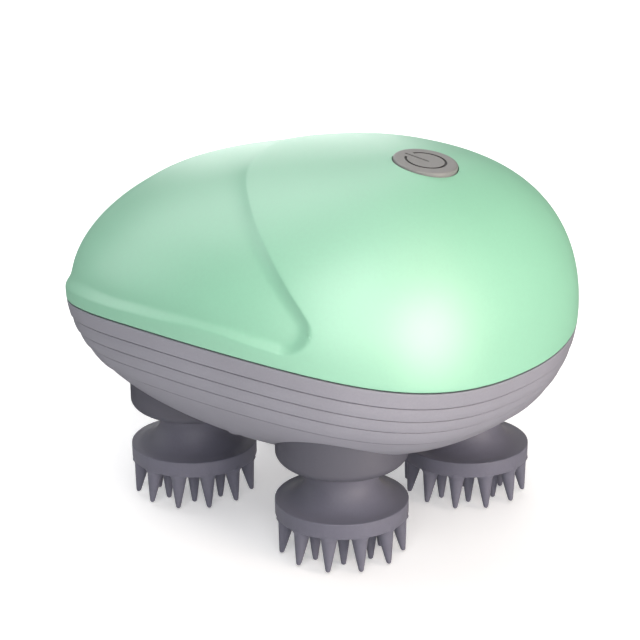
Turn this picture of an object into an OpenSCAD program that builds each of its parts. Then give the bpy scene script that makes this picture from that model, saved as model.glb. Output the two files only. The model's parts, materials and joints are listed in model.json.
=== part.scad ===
// Handheld scalp massager: a moulded two-part body with four turning heads.
// Millimetres. +X points to the wide end, +Z up. The origin is the middle of
// the footprint, on the surface that the tips of the fingers stand on.

/* [Body] */
// Half length of the body at its widest line
body_a = 58.8; // [54:0.1:62]
// Half width of the body at its widest line, before the egg shaping
body_b = 48.4; // [46:0.1:52]
// Squareness of the plan outline: 2 is an ellipse
body_m = 2.25; // [2.1:0.05:2.5]
// How much wider the front half is than the tail
body_k1 = 0.17; // [0.1:0.01:0.2]
// Height of the widest line above the surface
body_ze = 52.25; // [51.5:0.05:53]
// Height of the dome above the widest line
dome_h = 28.95; // [28:0.05:30]
// How far forward of the middle the top of the dome is
dome_x = 27; // [24:0.5:29]
// Underside height above the surface
body_zb = 21.3; // [21:0.1:21.5]
// Wall thickness of the top cover
cover_wall = 2.2; // [1.8:0.1:2.4]
// Wall thickness of the bottom case
case_wall = 2.4; // [2:0.1:2.6]

/* [Parting line] */
// Fore and aft tilt of the parting line
arch_1 = 1.75; // [0:0.05:2.5]
// Drop of the parting line towards both ends
arch_2 = -8.94; // [-9.5:0.02:-7]
// Extra drop close to the ends
arch_4 = -2.07; // [-3:0.01:0]
// Depth of the parting line below the widest line
seam_d = 2.12; // [1.5:0.02:3]
// Thickness of the flat seam gasket
gasket_t = 0.3; // [0.2:0.05:0.4]

/* [Hood and bands] */
// Depth of the recessed tail under the hood
hood_depth = 1.15; // [0.5:0.05:1.4]
// Radius of the hood edge in side view
hood_r = 60.5; // [58:0.5:63]
// Height of the skirt band above the parting line
skirt_h = 3.2; // [2.5:0.1:4]
// Step between one band of the bottom case and the next
band_step = 0.45; // [0.2:0.05:0.6]

/* [Heads] */
// Half spacing of the heads along the body
head_dx = 22.5; // [22.5]
// Radius of a head's disc
disc_r = 14; // [13.5:0.1:14.2]
// Radius of the circle of outer finger tips
tip_r_out = 13.18; // [12.8:0.02:13.3]
// Radius of the circle of inner finger tips
tip_r_in = 8.14; // [7.6:0.02:8.6]
// Number of outer fingers on a head
fingers_out = 12; // [12]
// Number of inner fingers on a head
fingers_in = 8; // [8]
// Height of the outer finger tips above the inner ones
tip_lift = 0.64; // [0.4:0.02:0.8]
// Radius of a drive shaft
shaft_r = 2; // [2]
// Radius of a collar
collar_r = 13.85; // [13.8:0.05:14]

/* [Gears] */
// Teeth on the centre gear that drives the heads
z_sun = 39; // [39]
// Teeth on the gear of a head
z_head = 22; // [22]
// Teeth on the upper rim of the centre gear
z_rim = 66; // [66]
// Teeth on the small half of the double gear
z_dbl_s = 12; // [12]
// Teeth on the large half of the double gear
z_dbl_l = 50; // [50]
// Teeth on the motor pinion
z_pin = 12; // [12]
// Pressure angle
p_angle = 25; // [22:1:27]
// Running clearance of a bore on its shaft or axle
run_fit = 0.05; // [0.03:0.01:0.08]

/* [Button] */
// Radius of the power button
button_r = 6.7; // [6.5:0.1:6.9]
// Tilt of the button with the dome
button_tilt = 10; // [9:0.5:10.5]
// Travel of the button
button_travel = 0.6; // [0.4:0.1:0.8]

/* [Hidden] */
$fn = 64;
// sections round the body
N = 72;
// middle of the pattern of heads
hx = 6.3;
// centre distance of the centre gear and a head gear, module 1
cc_head = (z_sun + z_head) / 2;
head_dy = sqrt(cc_head * cc_head - head_dx * head_dx);
// rl rear left, rr rear right, fl front left, fr front right, seen from above
HEADS = [[-1, 1], [-1, -1], [1, 1], [1, -1]];
function head_at(i) = [hx + HEADS[i][0] * head_dx, HEADS[i][1] * head_dy];
function head_dir(i) = atan2(HEADS[i][1] * head_dy, HEADS[i][0] * head_dx);

// ---- plan outline and heights of the body ----
k2 = -0.056;
k3 = 0.05;
dome_n1 = 1.93;
dome_n2 = 2.02;
dome_q = 0.74;
bowl_h = 36.87;
bowl_n3 = 2.055;
bowl_n4 = 1.933;
bowl_x = 8.96;
bowl_q = 7.35;
bowl_d = body_ze - body_zb;
BANDS = [seam_d, 5.75, 9.13, 12.44, 16.64];
function spow(v, p) = sign(v) * pow(abs(v), p);
function plan_x(t) = spow(cos(t), 2 / body_m);
function plan_y(t) = spow(sin(t), 2 / body_m) * (1 + body_k1 * cos(t) + k2 * cos(2 * t) + k3 * cos(3 * t));
function arch(x) = arch_1 * x + arch_2 * x * x + arch_4 * x * x * x * x;
function dome_rho(s) = pow(max(0, 1 - pow(s, dome_n2)), 1 / dome_n1);
function bowl_rho(d) = pow(max(0, 1 - pow(d / bowl_h, bowl_n4)), 1 / bowl_n3);
// a point of the dome: angle t, relative height s from 0 to 1, set in by w
function dome_pt(t, s, w) =
  let(rho = dome_rho(s), x = rho * body_a * plan_x(t) + dome_x * (1 - rho), f = 1 - pow(s, dome_q))
  [rho * (body_a - w) * plan_x(t) + dome_x * (1 - rho), rho * (body_b - w) * plan_y(t),
   body_ze + (dome_h - w) * s + f * arch(x / body_a)];
// a point of the bowl: angle t, depth d below the widest line, set in by w,
// with a floor of thickness fl
function bowl_pt(t, d, w, fl = 0) =
  let(de = d * bowl_d / (bowl_d - fl), rho = bowl_rho(de), x = rho * body_a * plan_x(t) + bowl_x * (1 - rho),
      f = 1 - pow(de / bowl_d, bowl_q))
  [rho * (body_a - w) * plan_x(t) + bowl_x * (1 - rho), rho * (body_b - w) * plan_y(t), body_ze - d + f * arch(x / body_a)];
function smooth(v) = let(u = min(1, max(0, v))) u * u * (3 - 2 * u);
// the recess under the hood edge, a circle in side view, above the skirt
hood_c = [-7.7, 18.3];
function seam_z(x) = body_ze - seam_d + arch(x / body_a);
function recess(p) = hood_depth * smooth((hood_r - norm([p[0] - hood_c[0], p[2] - hood_c[1]])) / 2.5)
  * smooth((p[2] - seam_z(p[0]) - skirt_h) / 2.5);
function dome_outer(t, s) = dome_pt(t, s, recess(dome_pt(t, s, 0)));

// ---- closed skins from rings of points ----
function ring_faces(a, b, n) = [for (i = [0:n - 1]) each let(j = (i + 1) % n)
  [[a + i, b + i, b + j], [a + i, b + j, a + j]]];
function fan(a, c, n) = [for (i = [0:n - 1]) [a + i, c, a + (i + 1) % n]];
// a closed solid from rings that go downwards, between the poles p0 above and p1 below
module skin(rings, p0, p1) {
  n = len(rings[0]);
  m = len(rings);
  f = concat([for (k = [0:m - 2]) each ring_faces(k * n, (k + 1) * n, n)],
    [for (i = [0:n - 1]) [n * m, i, (i + 1) % n]],
    fan((m - 1) * n, n * m + 1, n));
  polyhedron(concat([for (r = rings) each r], [p0, p1]), [for (t = f) [t[2], t[1], t[0]]]);
}
// a cup: outer rings from the rim to the pole, then inner rings from the pole to the rim
module cup(outer, po, inner, pi_, flip = false) {
  n = len(outer[0]);
  mo = len(outer);
  mi = len(inner);
  pts = concat([for (r = outer) each r], [po], [for (r = inner) each r], [pi_]);
  o = n * mo + 1;
  f = concat([for (k = [0:mo - 2]) each ring_faces(k * n, (k + 1) * n, n)],
    fan((mo - 1) * n, n * mo, n),
    [for (k = [0:mi - 2]) each ring_faces(o + (k + 1) * n, o + k * n, n)],
    [for (i = [0:n - 1]) [o + (mi - 1) * n + i, o + (mi - 1) * n + (i + 1) % n, o + mi * n]],
    ring_faces(o, 0, n));
  polyhedron(pts, flip ? [for (t = f) [t[2], t[1], t[0]]] : f);
}
function angles(n) = [for (i = [0:n - 1]) 360 * i / n];
function dome_ring(s, w) = [for (t = angles(N)) dome_pt(t, s, w)];
function dome_ring_out(s) = [for (t = angles(N)) dome_outer(t, s)];
function bowl_ring(d, w, fl = 0) = [for (t = angles(N)) bowl_pt(t, d, w, fl)];

// ---- involute gears ----
function inv(a) = tan(a) * 180 / PI - a;
function gear_pts(m, z, a0) =
  let(r = m * z / 2, rb = r * cos(p_angle), ra = r + 0.9 * m, rf = r - 1.2 * m,
      half = 90 / z - (0.03 + 0.07 * m) / r * 180 / PI,
      rho = [for (k = [0:3]) max(rb, rf) + (ra - max(rb, rf)) * k / 3],
      off = [for (q = rho) half + inv(p_angle) - inv(acos(min(1, rb / q)))])
  [for (i = [0:z - 1]) each let(c = a0 + 360 * i / z) concat(
      rf < rb ? [rf * [cos(c - off[0]), sin(c - off[0])]] : [],
      [for (k = [0:3]) rho[k] * [cos(c - off[k]), sin(c - off[k])]],
      [for (k = [3:-1:0]) rho[k] * [cos(c + off[k]), sin(c + off[k])]],
      rf < rb ? [rf * [cos(c + off[0]), sin(c + off[0])]] : [])];
module gear(m, z, h, a0) { linear_extrude(h) polygon(gear_pts(m, z, a0)); }
// angle of a gear that meshes with one at angle a1 in direction phi
function mesh_angle(phi, a1, z1, z2) = phi + 180 - (a1 - phi) * z1 / z2 + 180 / z2;

sun_c = [hx, 0];
cc_dbl = 0.6 * (z_rim + z_dbl_s) / 2;
dbl_c = [hx - cc_dbl, 0];
cc_mot = 0.5 * (z_dbl_l + z_pin) / 2;
mot_c = [hx - cc_dbl + cc_mot, 0];
tower_top = 30.8;
plate_z = 46.2;
plate_t = 2.5;
POSTS = [[hx, 27], [hx, -27], [35, 0], [-36, 0]];
CASE_SCREWS = [[-31.5, 14], [-31.5, -14], [43, 7], [43, -7]];
cover_boss_z = 45;

// ---- button frame: origin on the dome's surface, tilted with it ----
button_x = 33;
button_z = 80.5;
// angle that the engraved mark is turned by on the button
mark_turn = 9;
module at_button() { translate([button_x, 0, button_z]) rotate([0, button_tilt, 0]) children(); }
// frame of the control board and its switch, under the button
module at_board() { translate([32.8, 0, 80.45]) rotate([0, 8, 0]) children(); }

module top_cover() {
  color([0.63, 0.86, 0.75]) difference() {
    union() {
      cup(concat([bowl_ring(seam_d - gasket_t / 2, 0)], [bowl_ring(1, 0)],
            [for (s = [0, 0.05, 0.1, 0.15, 0.2, 0.27, 0.34, 0.41, 0.48, 0.55, 0.62, 0.69, 0.75, 0.81, 0.86, 0.9, 0.94, 0.97, 0.99]) dome_ring_out(s)]),
        dome_pt(0, 1, 0),
        concat([bowl_ring(seam_d - gasket_t / 2, cover_wall)],
            [for (s = [0, 0.12, 0.25, 0.4, 0.55, 0.7, 0.82, 0.92, 0.98]) dome_ring(s, cover_wall)]),
        dome_pt(0, 1, cover_wall));
      // bosses for the case screws
      for (i = [0:3]) translate(concat(CASE_SCREWS[i], cover_boss_z)) {
        top = i < 2 ? 22 : 26.5;
        cylinder(r = 3.2, h = top);
        cylinder(r = 1.6, h = top + (i < 2 ? 2 : 2.6));
      }
      // bosses for the control board
      at_board() for (y = [-10.5, 10.5]) translate([-16, y, -8.9]) cylinder(r = 2.2, h = 5.3);
      // block behind the charging port, and ledges for the charge board
      translate([-55.8, -9.5, 40.4]) cube([2.4, 19, 8]);
      for (y = [-8, 6]) translate([-55.2, y, 40.4]) cube([12, 2, 1.8]);
      // collar round the button well
      at_button() translate([0, 0, -4.1]) cylinder(r = button_r + 1.8, h = 2);
    }
    at_button() {
      translate([0, 0, -5]) cylinder(r = button_r + 0.2, h = 12);
    }
    // holes for the case screws' threads
    for (p = CASE_SCREWS) translate(concat(p, cover_boss_z - 1)) cylinder(r = 1.1, h = 9);
    at_board() for (y = [-10.5, 10.5]) translate([-16, y, -9.5]) cylinder(r = 0.8, h = 5);
    // charging port and the pocket of its plug
    translate([-60, -4.7, 43.2]) cube([10, 9.4, 3.7]);
    translate([-60, -7.4, 40.9]) cube([4.6, 14.8, 7.7]);
    translate([-56.2, -8.4, 42.35]) rotate([-90, 0, 0]) cylinder(r = 0.5, h = 16.8);
    // light pipe
    translate([-60, 12.4, 46.5]) rotate([0, 90, 0]) cylinder(r = 1, h = 10);
  }
}

function case_rings() = concat([bowl_ring(seam_d + gasket_t / 2, 0)],
  [for (i = [1:4]) each [bowl_ring((BANDS[i - 1] + BANDS[i]) / 2, band_step * 0.3), bowl_ring(BANDS[i], 0), bowl_ring(BANDS[i] + 0.25, band_step)]]);
LOW = [20, 23.5, 26.5, 29, 30.3];
function low_rings() = concat([for (d = LOW) bowl_ring(d, band_step)], [bowl_ring(bowl_d, band_step + 0.5)]);

module tower() {
  rotate_extrude() polygon([[5, 18.2], [5, 20.2], [3.4, 20.2], [3.4, tower_top], [6.6, tower_top], [6.6, 24.2], [10.9, 24.2],
    [10.9, tower_top], [12.2, tower_top], [12.2, 22], [6.6, 22], [6.6, 18.2]]);
}

module bottom_case() {
  color([0.62, 0.61, 0.66]) difference() {
    union() {
      difference() {
        cup(concat(case_rings(), low_rings()), [4, 0, body_zb],
          [for (d = [seam_d + gasket_t / 2, 6, 11, 16, 20, 24, 27, bowl_d - case_wall]) bowl_ring(d, case_wall, case_wall)],
          [4, 0, body_zb + case_wall], true);
        for (i = [0:3]) translate(concat(head_at(i), 15)) cylinder(r = 12, h = 30);
      }
      for (i = [0:3]) translate(head_at(i)) tower();
      // posts of the gear plate
      for (p = POSTS) translate(concat(p, 22.5)) cylinder(r = 3.4, h = plate_z - 22.5);
      // bosses of the case screws
      for (p = CASE_SCREWS) translate(concat(p, 24.5)) cylinder(r = 3.6, h = cover_boss_z - 24.5);
      // seats of the axles
      translate(concat(sun_c, 22.5)) cylinder(r = 4, h = 8.3);
      translate(concat(dbl_c, 22.5)) cylinder(r = 2.3, h = 8.3);
      // round pad in the middle of the underside
      translate(concat(sun_c, body_zb - 0.4)) cylinder(r = 7, h = 1.5);
    }
    for (p = CASE_SCREWS) {
      translate(concat(p, 18)) cylinder(r = 2.6, h = 12);
      translate(concat(p, 18)) cylinder(r = 1.35, h = 30);
    }
    for (p = POSTS) translate(concat(p, plate_z - 8)) cylinder(r = 0.85, h = 9);
    translate(concat(sun_c, 25)) cylinder(r = 1.5, h = 8);
    translate(concat(dbl_c, 25)) cylinder(r = 1, h = 8);
  }
}

module seam_gasket() {
  d0 = seam_d - gasket_t / 2 + 0.04;
  d1 = seam_d + gasket_t / 2 - 0.04;
  a = [bowl_ring(d0, 0.5), bowl_ring(d1, 0.5), bowl_ring(d1, 2), bowl_ring(d0, 2)];
  color([0.2, 0.2, 0.21]) polyhedron([for (r = a) each r],
    concat(ring_faces(N, 0, N), ring_faces(2 * N, N, N), ring_faces(3 * N, 2 * N, N), ring_faces(0, 3 * N, N)));
}

module power_button() {
  color([0.58, 0.57, 0.56]) at_button() difference() {
    union() {
      rotate_extrude() polygon([[0, -2.6], [button_r, -2.6], [button_r, -0.15], [button_r - 0.08, 0.05],
        [button_r - 0.3, 0.17], [button_r - 0.6, 0.2], [0, 0.2]]);
      translate([0, 0, -5.2]) cylinder(r = 1.4, h = 3);
    }
    // engraved stand-by mark
    rotate([0, 0, mark_turn]) {
      translate([0, 0, -0.05]) difference() {
        cylinder(r = 4.38, h = 1);
        translate([0, 0, -1]) cylinder(r = 3.86, h = 3);
        translate([-8, -1.5, -1]) cube([8, 3, 3]);
      }
      translate([-4.95, -0.27, -0.05]) cube([5.7, 0.54, 1]);
    }
  }
}
module button_seal() {
  color([0.25, 0.25, 0.26]) at_button() rotate_extrude()
    polygon([[2.4, -3.9], [button_r + 0.2, -4], [button_r + 0.2, -3.5], [2.4, -3.4]]);
}
module tact_switch() {
  color([0.2, 0.2, 0.2]) at_board() {
    translate([-3, -3, -8.9]) cube([6, 6, 2.4]);
    translate([0, 0, -6.5]) cylinder(r = 1.7, h = 0.69);
  }
}
module control_board() {
  color([0.1, 0.42, 0.25]) at_board() translate([0, 0, -10.5]) difference() {
    linear_extrude(1.6) polygon([[-21, -14], [1.2, -14], [1.2, -4.2], [5.4, -4.2], [5.4, 4.2], [1.2, 4.2], [1.2, 14], [-21, 14]]);
    for (y = [-10.5, 10.5]) translate([-16, y, -1]) cylinder(r = 1, h = 4);
  }
}
module controller_chip() {
  color([0.08, 0.08, 0.09]) at_board() translate([-12, -3.5, -11.7]) cube([7, 7, 1.2]);
}
module board_screws() {
  color([0.75, 0.75, 0.77]) at_board() for (y = [-10.5, 10.5]) translate([-16, y, -12]) {
    cylinder(r = 1.7, h = 1.5);
    cylinder(r = 0.8, h = 6.8);
  }
}
bat_y = 24;
bat_z = 57.4;
module battery_cell() {
  color([0.15, 0.35, 0.65]) translate([-25, bat_y, bat_z]) rotate([0, 90, 0]) union() {
    cylinder(r = 7.1, h = 49.5);
    translate([0, 0, 49.5]) cylinder(r = 2.8, h = 1);
  }
}
module battery_cradle() {
  color([0.2, 0.2, 0.22]) difference() {
    translate([-27, bat_y - 8.6, plate_z + plate_t]) cube([54, 17.2, 8]);
    translate([-25.5, bat_y, bat_z]) rotate([0, 90, 0]) cylinder(r = 7.1, h = 51);
    translate([-15, bat_y - 10, plate_z + plate_t + 3.5]) cube([30, 20, 8]);
    translate([hx, 27, plate_z]) cylinder(r = 2.8, h = 20);
  }
}
module charge_board() {
  color([0.1, 0.42, 0.25]) translate([-53.2, -8, 42.2]) cube([11, 16, 1.2]);
}
module charge_socket() {
  color([0.8, 0.8, 0.82]) difference() {
    translate([-54.4, -4.5, 43.4]) cube([7.2, 9, 3.3]);
    translate([-55, -4.2, 43.7]) cube([6.6, 8.4, 2.7]);
  }
  color([0.1, 0.1, 0.1]) translate([-52.8, -3.4, 44.7]) cube([4.6, 6.8, 0.7]);
}
module port_plug() {
  // flap, its plug that fills the socket's mouth, and the knuckle it swings on
  color([0.55, 0.55, 0.56]) {
    intersection() {
      translate([-23.2, 0, 42.35]) cylinder(r1 = 34.39, r2 = 33.2, h = 5.95, $fn = 720);
      translate([-60, -7.2, 42.35]) cube([4.25, 14.4, 5.95]);
    }
    // pins that the flap swings on
    translate([-56.2, -8.2, 42.35]) rotate([-90, 0, 0]) cylinder(r = 0.5 - run_fit, h = 16.4);
    translate([-55.95, -3.9, 44.2]) cube([2.05, 7.8, 1.5]);
    translate([-56.2, -7.2, 42.35]) rotate([-90, 0, 0]) cylinder(r = 0.75, h = 14.4);
  }
}
module indicator_lens() {
  color([0.9, 0.92, 0.9]) translate([-54.5, 12.4, 46.5]) rotate([0, 90, 0]) cylinder(r = 1, h = 2.4);
}

module motor_can() {
  color([0.75, 0.75, 0.76]) translate(concat(mot_c, plate_z + plate_t)) difference() {
    union() {
      cylinder(r = 12.2, h = 17.4);
      translate([0, 0, 17.4]) cylinder(r = 4, h = 1.2);
      translate([0, 0, -2.4]) cylinder(r = 3, h = 2.6);
    }
    translate([0, 0, -3]) cylinder(r = 1 + run_fit, h = 19);
  }
}
module motor_shaft() {
  color([0.8, 0.8, 0.82]) translate(concat(mot_c, 41.8)) cylinder(r = 1, h = 20);
}
module motor_pinion() {
  color([0.85, 0.75, 0.4]) translate(concat(mot_c, 42)) difference() {
    gear(0.5, z_pin, 3.4, mesh_angle(0, 0, z_dbl_l, z_pin));
    translate([0, 0, -1]) cylinder(r = 1, h = 6);
  }
}
module double_gear() {
  color([0.92, 0.9, 0.84]) translate(dbl_c) difference() {
    union() {
      translate([0, 0, 37]) gear(0.6, z_dbl_s, 5.2, mesh_angle(180, 0, z_rim, z_dbl_s));
      translate([0, 0, 42.2]) gear(0.5, z_dbl_l, 3, 0);
      translate([0, 0, 45.2]) cylinder(r = 2.4, h = 0.8);
      translate([0, 0, 31]) cylinder(r = 1.8, h = 6);
    }
    translate([0, 0, 30]) cylinder(r = 1 + run_fit, h = 20);
  }
}
module center_gear() {
  color([0.92, 0.9, 0.84]) translate(sun_c) difference() {
    union() {
      translate([0, 0, 31.4]) gear(1, z_sun, 5, 0);
      translate([0, 0, 36.4]) cylinder(r = 16.5, h = 0.8);
      translate([0, 0, 37.2]) gear(0.6, z_rim, 3.6, 0);
      translate([0, 0, 31]) cylinder(r = 4, h = 14.8);
    }
    translate([0, 0, 30]) cylinder(r = 1.5 + run_fit, h = 20);
  }
}
module gear_axles() {
  color([0.78, 0.78, 0.8]) {
    translate(concat(sun_c, 25)) cylinder(r = 1.5, h = plate_z + plate_t - 25.4);
    translate(concat(dbl_c, 25)) cylinder(r = 1, h = plate_z + plate_t - 25.4);
  }
}
module gear_plate() {
  color([0.3, 0.3, 0.32]) translate([0, 0, plate_z]) difference() {
    linear_extrude(plate_t) union() {
      translate([-27.5, -31]) square([62, 62]);
      translate([-36, -5]) square([12, 10]);
      translate([-36, 0]) circle(r = 5);
      translate([30, -3.4]) square([5, 6.8]);
      translate([35, 0]) circle(r = 3.4);
    }
    translate(concat(sun_c, -0.6)) cylinder(r = 1.5, h = plate_t + 0.2);
    translate(concat(dbl_c, -0.6)) cylinder(r = 1, h = plate_t + 0.2);
    translate(concat(mot_c, -1)) cylinder(r = 3, h = plate_t + 2);
    for (p = POSTS) translate(concat(p, -1)) cylinder(r = 1.2, h = plate_t + 2);
    // windows that lighten the plate
    translate([17, -26, -1]) cube([13, 15, 6]);
    translate([-22, -26, -1]) cube([20, 13, 6]);
  }
}
module plate_screws() {
  color([0.75, 0.75, 0.77]) for (p = POSTS) translate(concat(p, plate_z + plate_t)) {
    cylinder(r = 2.2, h = 1.6);
    translate([0, 0, -9]) cylinder(r = 0.85, h = 9);
  }
}
module case_screws() {
  color([0.75, 0.75, 0.77]) for (p = CASE_SCREWS) translate(concat(p, 28)) {
    difference() {
      cylinder(r = 2.4, h = 2);
      translate([-1.6, -0.3, -1]) cube([3.2, 0.6, 1.8]);
      translate([-0.3, -1.6, -1]) cube([0.6, 3.2, 1.8]);
    }
    cylinder(r = 1.1, h = 24);
  }
}
module shaft_bushes() {
  color([0.78, 0.6, 0.35]) for (i = [0:3], z = [20.4, 27.2]) translate(concat(head_at(i), z)) difference() {
    cylinder(r = 3.4, h = 3.6);
    translate([0, 0, -1]) cylinder(r = shaft_r + run_fit, h = 6);
  }
}
module shaft_seals() {
  color([0.15, 0.15, 0.16]) for (i = [0:3]) translate(concat(head_at(i), 18.2)) difference() {
    cylinder(r = 5, h = 2);
    translate([0, 0, -1]) cylinder(r = shaft_r + run_fit, h = 6);
  }
}

// a bowl-shaped boot round the neck of a head, trimmed by the body
module collar(i) {
  color([0.37, 0.36, 0.4]) difference() {
    translate(head_at(i)) rotate_extrude() polygon(concat(
      [[12.2, 31]],
      [for (a = [0:15:75]) [7.75 + 4.45 * cos(a), 21.95 - 1.45 * sin(a)]],
      [[7.75, 20.45]],
      [for (a = [90:-15:0]) [7.75 + (collar_r - 7.75) * cos(a), 22.5 - 3 * sin(a)]],
      [[collar_r, 31]]));
    skin(concat([bowl_ring(BANDS[4] + 0.25, band_step)], low_rings()), [4, 0, 45], [4, 0, body_zb]);
  }
}
module collar_rl() { collar(0); }
module collar_rr() { collar(1); }
module collar_fl() { collar(2); }
module collar_fr() { collar(3); }

disc_z0 = 8.4;
disc_z1 = 11.85;
pad_top = 17.4;
neck_r = 7.4;
neck_top = 19.2;
module finger(r_base, r_tip, rb, rt, z_tip) {
  // a round cone from its root inside the disc to its rounded tip
  dz = disc_z0 + 0.6 - z_tip - rt;
  lean = atan2(r_tip - r_base, dz);
  len = dz / cos(lean);
  translate([r_tip, 0, z_tip + rt]) {
    sphere(r = rt, $fn = 32);
    rotate([0, -lean, 0]) cylinder(r1 = rt, r2 = rb, h = len, $fn = 32);
  }
}
module pad(i) {
  color([0.4, 0.39, 0.44]) translate(head_at(i)) difference() {
    union() {
      rotate_extrude() polygon(concat(
        [[0, disc_z0], [disc_r - 0.5, disc_z0], [disc_r, disc_z0 + 0.5], [disc_r, disc_z1]],
        [for (a = [6:14:90]) [disc_r - 0.3 - (disc_r - 0.3 - neck_r) * sin(a), disc_z1 + 5.5 * (1 - cos(a))]],
        [[neck_r, neck_top], [6.95, neck_top], [6.95, pad_top], [0, pad_top]]));
      for (k = [0:fingers_out - 1]) rotate([0, 0, k * 360 / fingers_out]) finger(11.85, tip_r_out, 1.88, 0.55, tip_lift);
      for (k = [0:fingers_in - 1]) rotate([0, 0, k * 360 / fingers_in]) finger(tip_r_in, tip_r_in, 1.6, 0.55, 0);
      finger(0, 0, 1.6, 0.55, 0);
    }
    translate([0, 0, disc_z0 + 2]) cylinder(r = 5, h = 20);
  }
}
module pad_rl() { pad(0); }
module pad_rr() { pad(1); }
module pad_fl() { pad(2); }
module pad_fr() { pad(3); }
module hub(i) {
  color([0.55, 0.55, 0.57]) translate(concat(head_at(i), disc_z0 + 2)) difference() {
    cylinder(r = 5, h = pad_top - disc_z0 - 2);
    translate([0, 0, 0.8]) cylinder(r = shaft_r, h = 20);
  }
}
module hub_rl() { hub(0); }
module hub_rr() { hub(1); }
module hub_fl() { hub(2); }
module hub_fr() { hub(3); }
module shaft(i) {
  color([0.78, 0.78, 0.8]) translate(concat(head_at(i), disc_z0 + 2.8)) cylinder(r = shaft_r, h = 37.6 - disc_z0 - 2.8);
}
module shaft_rl() { shaft(0); }
module shaft_rr() { shaft(1); }
module shaft_fl() { shaft(2); }
module shaft_fr() { shaft(3); }
module head_gear(i) {
  color([0.92, 0.9, 0.84]) translate(concat(head_at(i), 31.4)) difference() {
    union() {
      gear(1, z_head, 5, mesh_angle(head_dir(i), 0, z_sun, z_head));
      translate([0, 0, -0.4]) cylinder(r = 4, h = 6.2);
    }
    translate([0, 0, -1]) cylinder(r = shaft_r, h = 8);
  }
}
module gear_rl() { head_gear(0); }
module gear_rr() { head_gear(1); }
module gear_fl() { head_gear(2); }
module gear_fr() { head_gear(3); }

top_cover();
bottom_case();
seam_gasket();
power_button();
button_seal();
tact_switch();
control_board();
controller_chip();
board_screws();
battery_cell();
battery_cradle();
charge_board();
charge_socket();
port_plug();
indicator_lens();
motor_can();
motor_shaft();
motor_pinion();
double_gear();
center_gear();
gear_axles();
gear_plate();
plate_screws();
case_screws();
shaft_bushes();
shaft_seals();
collar_rl();
collar_rr();
collar_fl();
collar_fr();
pad_rl();
pad_rr();
pad_fl();
pad_fr();
hub_rl();
hub_rr();
hub_fl();
hub_fr();
shaft_rl();
shaft_rr();
shaft_fl();
shaft_fr();
gear_rl();
gear_rr();
gear_fl();
gear_fr();
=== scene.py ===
import json
import math

import bmesh
import bpy
import numpy as np
from mathutils import Matrix, Vector


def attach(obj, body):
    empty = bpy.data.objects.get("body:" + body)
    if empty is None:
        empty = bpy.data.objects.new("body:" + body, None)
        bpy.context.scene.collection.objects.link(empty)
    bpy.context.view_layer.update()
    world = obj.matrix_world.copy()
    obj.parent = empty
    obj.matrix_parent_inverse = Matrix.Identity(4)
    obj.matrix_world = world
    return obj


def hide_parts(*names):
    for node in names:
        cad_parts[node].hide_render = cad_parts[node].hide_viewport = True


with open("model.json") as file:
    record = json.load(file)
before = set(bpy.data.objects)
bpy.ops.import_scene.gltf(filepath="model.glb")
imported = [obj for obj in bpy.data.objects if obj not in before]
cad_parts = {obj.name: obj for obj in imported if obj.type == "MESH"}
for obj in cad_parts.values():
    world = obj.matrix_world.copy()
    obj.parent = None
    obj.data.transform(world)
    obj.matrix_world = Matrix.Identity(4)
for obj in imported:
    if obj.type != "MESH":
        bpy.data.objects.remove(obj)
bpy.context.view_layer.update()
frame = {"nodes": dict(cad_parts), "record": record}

MM = 0.001

# ---------------------------------------------------------------- the body's shape, in millimetres
A, B, M = 58.8, 48.4, 2.25
K1, K2, K3 = 0.17, -0.056, 0.05
ZE, H, XA, ZB = 52.25, 28.95, 27.0, 21.3
ARCH = (1.75, -8.94, -2.07)
SEAM, GASKET = 2.12, 0.3
BANDS = [5.75, 9.13, 12.44, 16.64]
BOWL_D = ZE - ZB
HOOD_C, HOOD_R = (-7.7, 18.3), 60.5
HOOD_DEPTH = 1.15
HX, HDX = 6.3, 22.5
HDY = math.sqrt(30.5 ** 2 - HDX ** 2)
HEADS = {"rl": (-1, 1), "rr": (-1, -1), "fl": (1, 1), "fr": (1, -1)}
CASE_SCREWS = [(-31.5, 14), (-31.5, -14), (43, 7), (43, -7)]
POSTS = [(HX, 27), (HX, -27), (35, 0), (-36, 0)]
BUTTON = Matrix.Translation((33, 0, 80.5)) @ Matrix.Rotation(math.radians(10), 4, "Y")
BOARD = Matrix.Translation((32.8, 0, 80.45)) @ Matrix.Rotation(math.radians(8), 4, "Y")
BUTTON_R = 6.7


def spow(v, p):
    return np.sign(v) * np.abs(v) ** p


def plan(t):
    c, s = np.cos(t), np.sin(t)
    return spow(c, 2 / M), spow(s, 2 / M) * (1 + K1 * c + K2 * np.cos(2 * t) + K3 * np.cos(3 * t))


def arch(u):
    return ARCH[0] * u + ARCH[1] * u ** 2 + ARCH[2] * u ** 4


def seam_z(x):
    return ZE - SEAM + arch(x / A)


def dome(t, s, w=0.0):
    px, py = plan(t)
    rho = np.maximum(0, 1 - s ** 2.02) ** (1 / 1.93)
    x = rho * A * px + XA * (1 - rho)
    f = 1 - s ** 0.74
    return np.stack([rho * (A - w) * px + XA * (1 - rho), rho * (B - w) * py, ZE + (H - w) * s + f * arch(x / A)], -1)


def bowl(t, d, w=0.0, fl=0.0):
    px, py = plan(t)
    de = d * BOWL_D / (BOWL_D - fl)
    rho = np.maximum(0, 1 - (de / 36.87) ** 1.933) ** (1 / 2.055)
    x = rho * A * px + 8.96 * (1 - rho)
    f = 1 - (de / BOWL_D) ** 7.35
    z = ZE - d + f * arch(x / A)
    return np.stack([rho * (A - w) * px + 8.96 * (1 - rho), rho * (B - w) * py, z + 0 * px], -1)


def smooth(v):
    u = np.clip(v, 0, 1)
    return u * u * (3 - 2 * u)


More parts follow.
